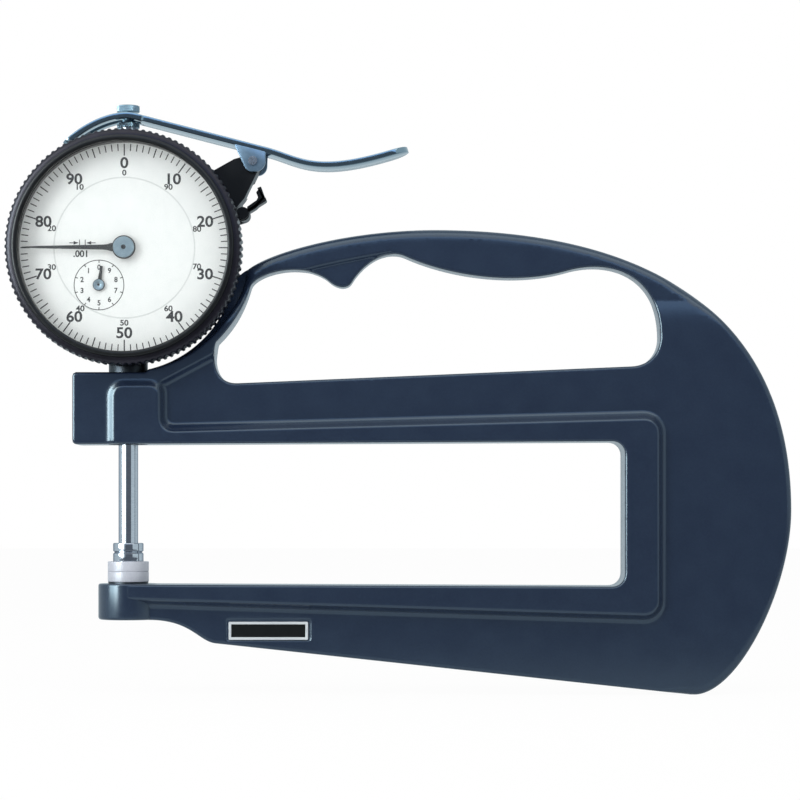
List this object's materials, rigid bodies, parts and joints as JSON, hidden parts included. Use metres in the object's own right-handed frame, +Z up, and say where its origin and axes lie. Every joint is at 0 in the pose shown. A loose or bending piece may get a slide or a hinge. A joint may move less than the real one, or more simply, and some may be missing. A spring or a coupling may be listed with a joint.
{
  "type": "dial thickness gauge",
  "caption": "Hand-held dial thickness gauge: cast deep-throat frame with a pistol grip, flat ceramic faces, and a dial indicator whose spindle is lifted by a thumb lever.",
  "frame": {"origin": "middle of the anvil's measuring face, on the spindle axis", "axes": "+X along the jaws to the throat's end, +Y away from the reader of the dial, +Z up along the spindle"},
  "size_m": [0.1903, 0.0224, 0.1439],
  "materials": {
    "cast_paint": "satin slate-blue paint on a die casting",
    "ceramic": "ground and polished white ceramic",
    "chrome": "polished chrome",
    "steel": "ground steel",
    "dark_steel": "blackened steel",
    "brass": "stamped brass",
    "blue_spring": "blued spring steel",
    "black_enamel": "black enamel",
    "black_case": "black painted die casting",
    "black_bezel": "black anodised, knurled",
    "crystal": "clear crystal",
    "dial_white": "matt white enamel with black printing",
    "hand_black": "black painted hands",
    "plate": "bare black plate with a bright border",
    "seal": "black sheet gasket"
  },
  "bodies": {
    "frame": {"frame": "cast_paint", "nameplate": "plate", "anvil_seat": "steel", "anvil_disc": "ceramic", "stem_set_screw": "dark_steel", "case": "black_case", "stem": "steel", "stem_bush": "brass", "upper_bush": "steel", "back_cover": "black_case", "cover_gasket": "seal", "back_cover_screws": "steel", "movement_plate": "brass", "movement_bridge": "brass", "rear_plate": "brass", "bridge_pillars": "brass", "rear_pillars": "brass", "movement_screws": "steel", "plate_screws": "steel", "dial_feet": "brass", "centre_dial": "dial_white", "spring_post": "steel", "return_spring": "steel", "hairspring": "blue_spring", "hairspring_stud": "brass", "lever_bracket": "black_enamel", "bracket_screws": "dark_steel", "lever_pin": "chrome", "clamp_pin": "dark_steel"},
    "bezel": {"bezel": "black_bezel", "bezel_wire": "steel", "crystal": "crystal", "crystal_ring": "black_bezel", "scale_ring": "dial_white", "scale_retainer": "black_bezel"},
    "spindle": {"spindle": "chrome", "contact_collar": "chrome", "contact_disc": "ceramic", "lift_cap": "chrome", "guide_pin": "steel", "spring_pin": "steel"},
    "lift_lever": {"lift_lever": "chrome"},
    "pointer": {"main_pointer": "hand_black", "pointer_hub": "steel", "centre_arbor": "steel"},
    "counter": {"counter_hand": "hand_black", "counter_arbor": "steel", "rack_pinion": "brass", "counter_wheel": "brass"},
    "takeup": {"takeup_wheel": "brass", "takeup_arbor": "steel"},
    "bezel_clamp": {"bezel_clamp": "black_enamel"}
  },
  "joints": [
    {"name": "lift_lever_turn", "type": "hinge", "parent": "frame", "child": "lift_lever", "pos_m": [0.0307, 0, 0.0999], "axis": [0, 1, 0], "range_deg": [0, 28]},
    {"name": "spindle_slide", "type": "slide", "parent": "frame", "child": "spindle", "axis": [0, 0, 1], "range_m": [0, 0.0254], "stiffness_N_per_m": 25, "springref_m": -0.06, "deforming": ["return_spring"]},
    {"name": "pointer_turn", "type": "hinge", "parent": "frame", "child": "pointer", "pos_m": [0, 0, 0.0783], "axis": [0, 1, 0], "range_deg": [0, 3600]},
    {"name": "counter_turn", "type": "hinge", "parent": "frame", "child": "counter", "pos_m": [-0.0061, 0, 0.0693], "axis": [0, 1, 0], "range_deg": [-360, 0]},
    {"name": "takeup_turn", "type": "hinge", "parent": "frame", "child": "takeup", "pos_m": [0.0072, 0, 0.08353], "axis": [0, 1, 0], "range_deg": [-450, 0]},
    {"name": "bezel_turn", "type": "hinge", "parent": "frame", "child": "bezel", "pos_m": [0, 0, 0.0783], "axis": [0, 1, 0], "continuous": true},
    {"name": "bezel_clamp_turn", "type": "hinge", "parent": "frame", "child": "bezel_clamp", "pos_m": [0.0282, 0, 0.0871], "axis": [0, 1, 0], "range_deg": [0, 20]}
  ],
  "couplings": [
    {"joint": "spindle_slide", "follows": "lift_lever_turn", "m_per_rad": 0.0307},
    {"joint": "pointer_turn", "follows": "lift_lever_turn", "ratio": 75.942},
    {"joint": "counter_turn", "follows": "lift_lever_turn", "ratio": -7.5942},
    {"joint": "takeup_turn", "follows": "lift_lever_turn", "ratio": -9.4928}
  ]
}
